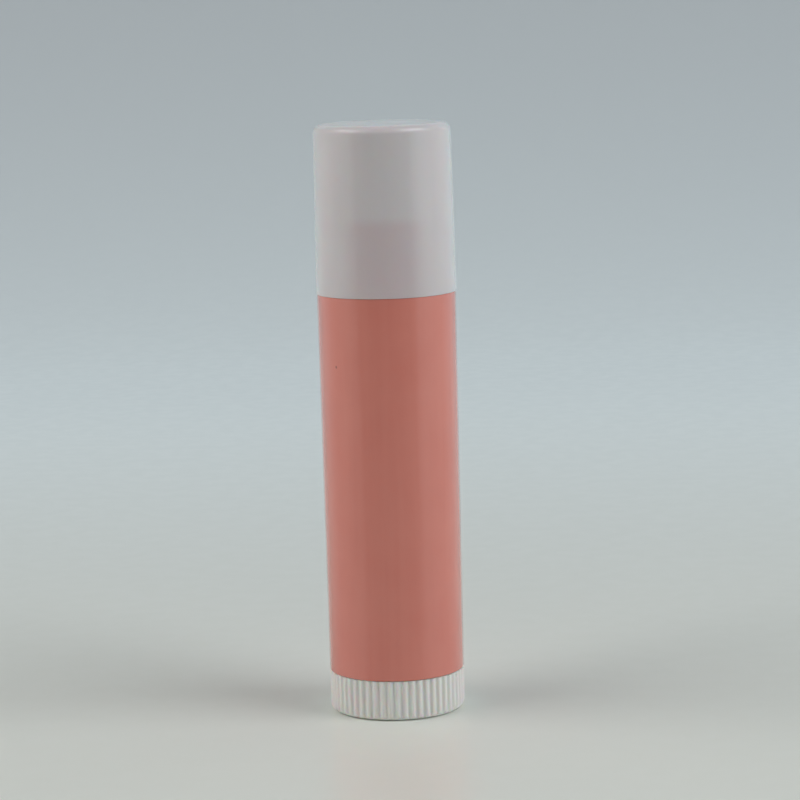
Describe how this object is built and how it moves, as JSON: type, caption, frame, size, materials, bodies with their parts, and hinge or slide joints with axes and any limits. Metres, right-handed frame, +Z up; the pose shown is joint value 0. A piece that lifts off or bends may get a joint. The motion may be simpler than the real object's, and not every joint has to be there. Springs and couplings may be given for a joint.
{
  "type": "lip balm stick",
  "caption": "Twist-up lip balm stick with a pull-off white cap, a pink drafted barrel and a white knurled dial that raises the balm on a lead screw",
  "frame": {"origin": "on the stick's axis, at the flat foot of the dial that the stick stands on", "axes": "+Z runs up the stick's axis from the dial to the cap, and +X and +Y lie across it, each through a guide rib of the barrel"},
  "size_m": [0.016, 0.016, 0.0675],
  "materials": {
    "pink_plastic": "satin",
    "white_cap_plastic": "satin",
    "white_dial_plastic": "satin",
    "natural_plastic": "matte",
    "balm_wax": "satin"
  },
  "bodies": {
    "barrel": {"barrel": "pink_plastic"},
    "dial": {"screw_dial": "white_dial_plastic"},
    "carriage": {"elevator_cup": "natural_plastic", "balm_stick": "balm_wax"},
    "cap": {"cap": "white_cap_plastic"}
  },
  "joints": [
    {"name": "balm_lift", "type": "slide", "parent": "barrel", "child": "carriage", "axis": [0, 0, 1], "range_m": [0, 0.036]},
    {"name": "dial_turn", "type": "hinge", "parent": "barrel", "child": "dial", "pos_m": [0, 0, 0], "axis": [0, 0, 1], "range_deg": [0, 3240]},
    {"name": "cap_pull", "type": "slide", "parent": "carriage", "child": "cap", "axis": [0, 0, 1], "range_m": [0, 0.03]}
  ],
  "couplings": [
    {"joint": "dial_turn", "follows": "balm_lift", "rad_per_m": 1570.8}
  ]
}
